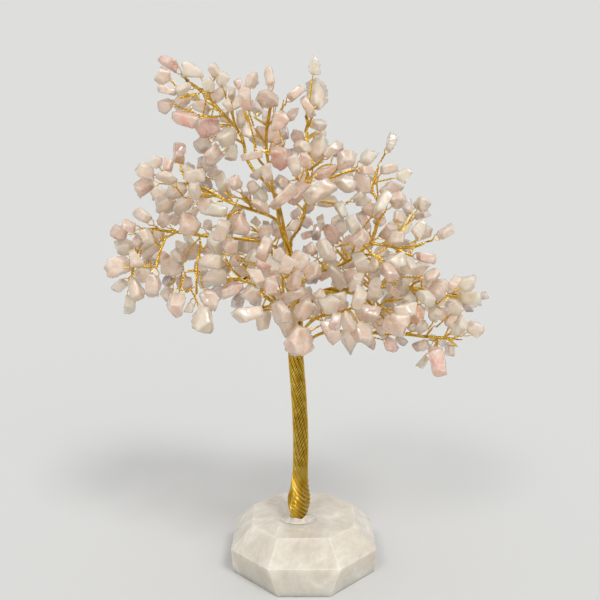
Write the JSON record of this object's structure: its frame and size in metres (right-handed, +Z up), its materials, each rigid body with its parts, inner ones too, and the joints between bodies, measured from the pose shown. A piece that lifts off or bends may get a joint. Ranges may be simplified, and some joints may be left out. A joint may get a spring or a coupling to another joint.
{
  "type": "gemstone tree ornament",
  "caption": "Small ornamental tree: rose quartz chips on twisted gold wire boughs, its wire trunk glued into a faceted quartz base.",
  "frame": {"origin": "centre of the base's flat rest face", "axes": "+Z up along the trunk, +X to the right and -Y towards the viewer of the front"},
  "size_m": [0.1519, 0.0874, 0.2],
  "materials": {
    "base_quartz": "polished, cloudy translucent quartz",
    "rose_quartz": "tumbled and drilled, translucent",
    "gold_wire": "bright drawn wire, gold-coloured, hand twisted",
    "clear_glue": "clear set glue, glossy"
  },
  "bodies": {
    "root": {"base_stone": "base_quartz", "glue_collar": "clear_glue", "top_left_strand": "gold_wire", "top_left_twigs": "gold_wire", "top_left_eyes": "gold_wire", "top_left_chips": "rose_quartz", "top_centre_strand": "gold_wire", "top_centre_twigs": "gold_wire", "top_centre_eyes": "gold_wire", "top_centre_chips": "rose_quartz", "top_right_strand": "gold_wire", "top_right_twigs": "gold_wire", "top_right_eyes": "gold_wire", "top_right_chips": "rose_quartz", "left_mid_strand": "gold_wire", "left_mid_twigs": "gold_wire", "left_mid_eyes": "gold_wire", "left_mid_chips": "rose_quartz", "left_reach_strand": "gold_wire", "left_reach_twigs": "gold_wire", "left_reach_eyes": "gold_wire", "left_reach_chips": "rose_quartz", "left_low_strand": "gold_wire", "left_low_twigs": "gold_wire", "left_low_eyes": "gold_wire", "left_low_chips": "rose_quartz", "front_left_strand": "gold_wire", "front_left_twigs": "gold_wire", "front_left_eyes": "gold_wire", "front_left_chips": "rose_quartz", "front_low_strand": "gold_wire", "front_low_twigs": "gold_wire", "front_low_eyes": "gold_wire", "front_low_chips": "rose_quartz", "right_low_strand": "gold_wire", "right_low_twigs": "gold_wire", "right_low_eyes": "gold_wire", "right_low_chips": "rose_quartz", "right_front_strand": "gold_wire", "right_front_twigs": "gold_wire", "right_front_eyes": "gold_wire", "right_front_chips": "rose_quartz", "right_reach_strand": "gold_wire", "right_reach_twigs": "gold_wire", "right_reach_eyes": "gold_wire", "right_reach_chips": "rose_quartz", "back_right_strand": "gold_wire", "back_right_twigs": "gold_wire", "back_right_eyes": "gold_wire", "back_right_chips": "rose_quartz", "right_mid_strand": "gold_wire", "right_mid_twigs": "gold_wire", "right_mid_eyes": "gold_wire", "right_mid_chips": "rose_quartz", "back_left_strand": "gold_wire", "back_left_twigs": "gold_wire", "back_left_eyes": "gold_wire", "back_left_chips": "rose_quartz"}
  },
  "joints": []
}
